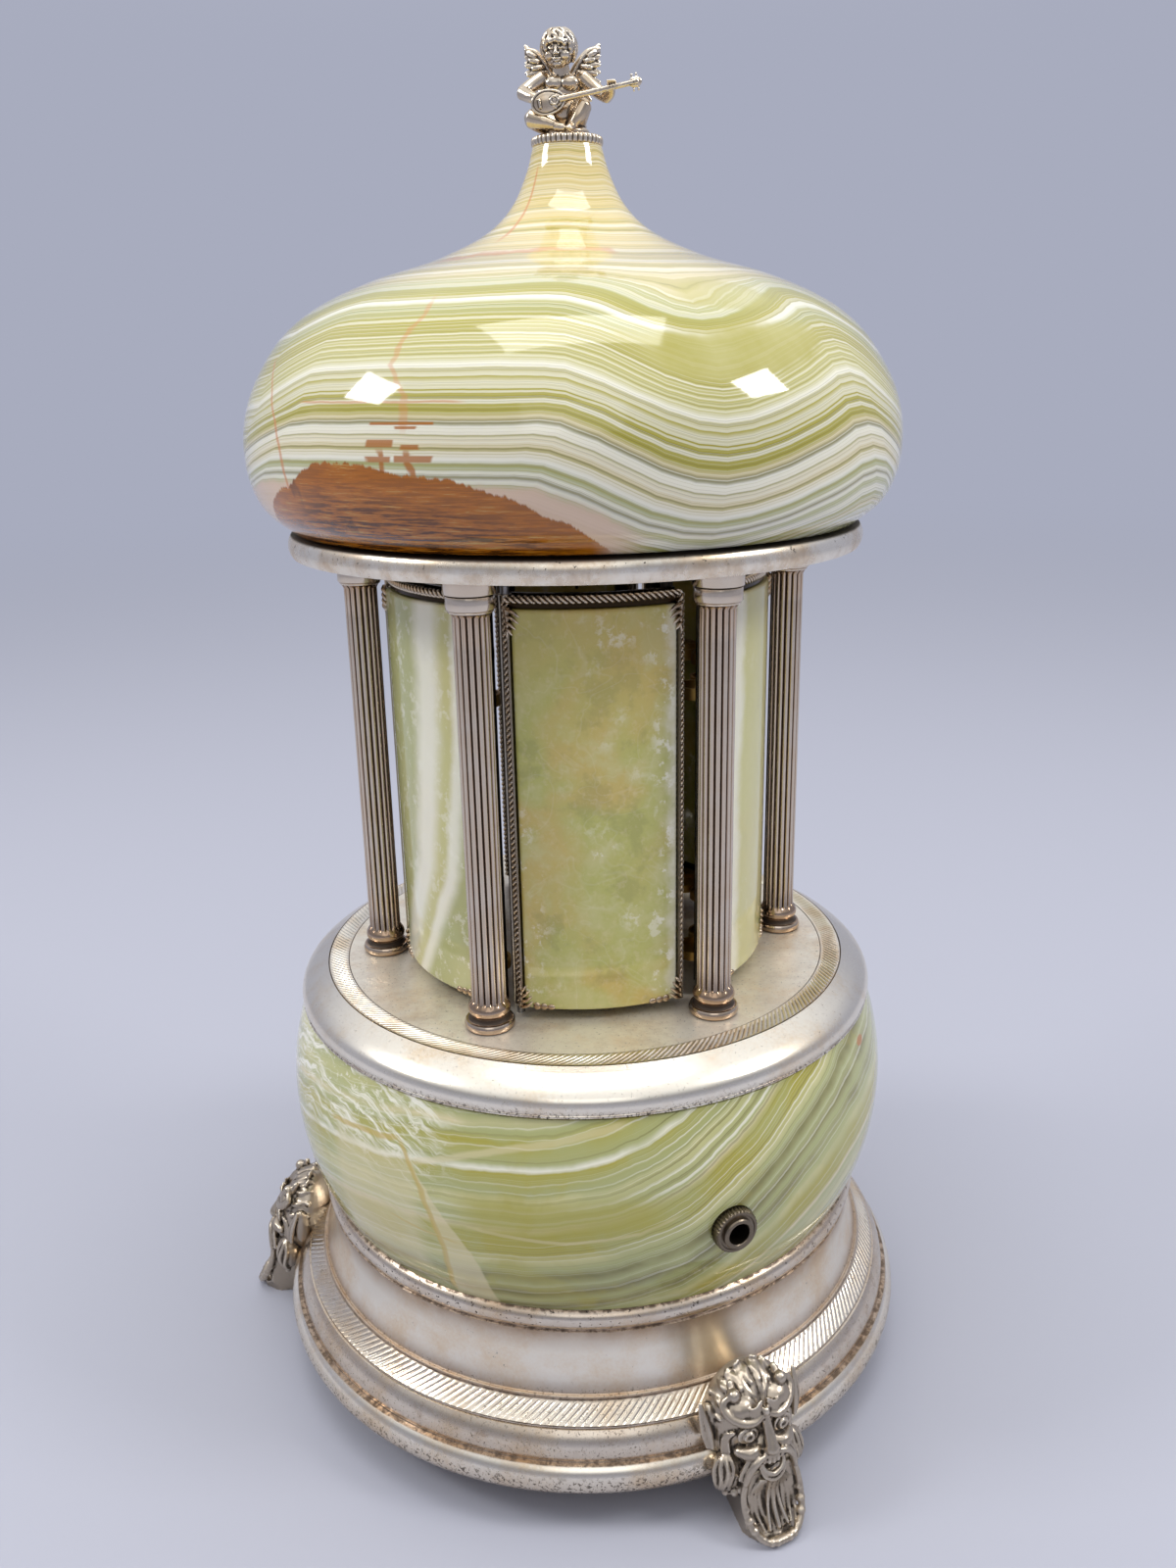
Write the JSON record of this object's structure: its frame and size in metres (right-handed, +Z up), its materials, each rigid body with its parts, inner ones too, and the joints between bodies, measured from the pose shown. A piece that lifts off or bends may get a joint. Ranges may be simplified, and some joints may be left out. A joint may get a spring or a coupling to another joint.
{
  "type": "music box cigar holder",
  "caption": "Onyx and silvered brass musical cigar holder, a domed temple whose curved doors swing out together when its top is turned.",
  "frame": {"origin": "on the table, under the turning axis of the carousel", "axes": "+Z up along the turning axis, -Y towards the viewer of the picture, +X to the viewer's right"},
  "size_m": [0.1974, 0.1881, 0.3506],
  "materials": {
    "onyx": "polished",
    "silvered_brass": "antique satin",
    "bare_brass": "satin",
    "steel": "satin"
  },
  "bodies": {
    "base": {"base_moulding": "silvered_brass", "base_drum": "onyx", "bottom_cover": "bare_brass", "foot_mask_1": "silvered_brass", "foot_mask_2": "silvered_brass", "foot_mask_3": "silvered_brass", "base_screws": "steel", "drum_bush": "silvered_brass", "knurled_ring_nut": "silvered_brass", "bush_lock_nut": "bare_brass", "bearer_plate": "bare_brass", "sun_wheel": "bare_brass", "spindle": "steel", "thrust_washer": "bare_brass", "bedplate": "bare_brass", "comb": "steel", "movement_screws": "steel"},
    "carousel": {"carousel_plate": "silvered_brass", "column_1": "silvered_brass", "column_2": "silvered_brass", "column_3": "silvered_brass", "column_4": "silvered_brass", "column_5": "silvered_brass", "column_6": "silvered_brass", "column_screws": "steel", "stop_posts": "silvered_brass", "upper_disc": "silvered_brass", "dome": "onyx", "dome_bolt": "steel", "dome_nut": "steel", "gallery_ring": "silvered_brass", "cherub_finial": "silvered_brass"},
    "winding_key": {"winding_key": "steel"},
    "spring_barrel": {"spring_barrel": "bare_brass"},
    "music_cylinder": {"music_cylinder": "bare_brass"},
    "governor": {"governor": "bare_brass"},
    "door_1": {"door_frame_1": "silvered_brass", "door_panel_1": "onyx", "door_rack_1": "bare_brass", "door_gear_1": "steel"},
    "door_2": {"door_frame_2": "silvered_brass", "door_panel_2": "onyx", "door_rack_2": "bare_brass", "door_gear_2": "steel"},
    "door_3": {"door_frame_3": "silvered_brass", "door_panel_3": "onyx", "door_rack_3": "bare_brass", "door_gear_3": "steel"},
    "door_4": {"door_frame_4": "silvered_brass", "door_panel_4": "onyx", "door_rack_4": "bare_brass", "door_gear_4": "steel"},
    "door_5": {"door_frame_5": "silvered_brass", "door_panel_5": "onyx", "door_rack_5": "bare_brass", "door_gear_5": "steel"},
    "door_6": {"door_frame_6": "silvered_brass", "door_panel_6": "onyx", "door_rack_6": "bare_brass", "door_gear_6": "steel"}
  },
  "joints": [
    {"name": "carousel_turn", "type": "hinge", "parent": "base", "child": "carousel", "pos_m": [0, 0, 0.109], "axis": [0, 0, -1], "range_deg": [0, 30]},
    {"name": "door_1_open", "type": "hinge", "parent": "carousel", "child": "door_1", "pos_m": [-0.01661, -0.04418, 0.1227], "axis": [0, 0, -1], "range_deg": [0, 60]},
    {"name": "door_2_open", "type": "hinge", "parent": "carousel", "child": "door_2", "pos_m": [0.02996, -0.03647, 0.1227], "axis": [0, 0, -1], "range_deg": [0, 60]},
    {"name": "door_3_open", "type": "hinge", "parent": "carousel", "child": "door_3", "pos_m": [0.04657, 0.00771, 0.1227], "axis": [0, 0, -1], "range_deg": [0, 60]},
    {"name": "door_4_open", "type": "hinge", "parent": "carousel", "child": "door_4", "pos_m": [0.01661, 0.04418, 0.1227], "axis": [0, 0, -1], "range_deg": [0, 60]},
    {"name": "door_5_open", "type": "hinge", "parent": "carousel", "child": "door_5", "pos_m": [-0.02996, 0.03647, 0.1227], "axis": [0, 0, -1], "range_deg": [0, 60]},
    {"name": "door_6_open", "type": "hinge", "parent": "carousel", "child": "door_6", "pos_m": [-0.04657, -0.00771, 0.1227], "axis": [0, 0, -1], "range_deg": [0, 60]},
    {"name": "key_wind", "type": "hinge", "parent": "base", "child": "winding_key", "pos_m": [0, 0, 0.0079], "axis": [0, 0, 1], "continuous": true},
    {"name": "barrel_spin", "type": "hinge", "parent": "base", "child": "spring_barrel", "pos_m": [0, 0, 0.0258], "axis": [0, 0, 1], "continuous": true},
    {"name": "cylinder_spin", "type": "hinge", "parent": "base", "child": "music_cylinder", "pos_m": [0.0155, 0, 0.0444], "axis": [1, 0, 0], "continuous": true},
    {"name": "governor_spin", "type": "hinge", "parent": "base", "child": "governor", "pos_m": [0.0466, 0.0113, 0.0258], "axis": [0, 0, 1], "continuous": true}
  ],
  "couplings": [
    {"joint": "door_1_open", "follows": "carousel_turn", "ratio": 2},
    {"joint": "door_2_open", "follows": "carousel_turn", "ratio": 2},
    {"joint": "door_3_open", "follows": "carousel_turn", "ratio": 2},
    {"joint": "door_4_open", "follows": "carousel_turn", "ratio": 2},
    {"joint": "door_5_open", "follows": "carousel_turn", "ratio": 2},
    {"joint": "door_6_open", "follows": "carousel_turn", "ratio": 2},
    {"joint": "cylinder_spin", "follows": "barrel_spin", "ratio": 1.4688},
    {"joint": "governor_spin", "follows": "barrel_spin", "ratio": 8.8125}
  ]
}
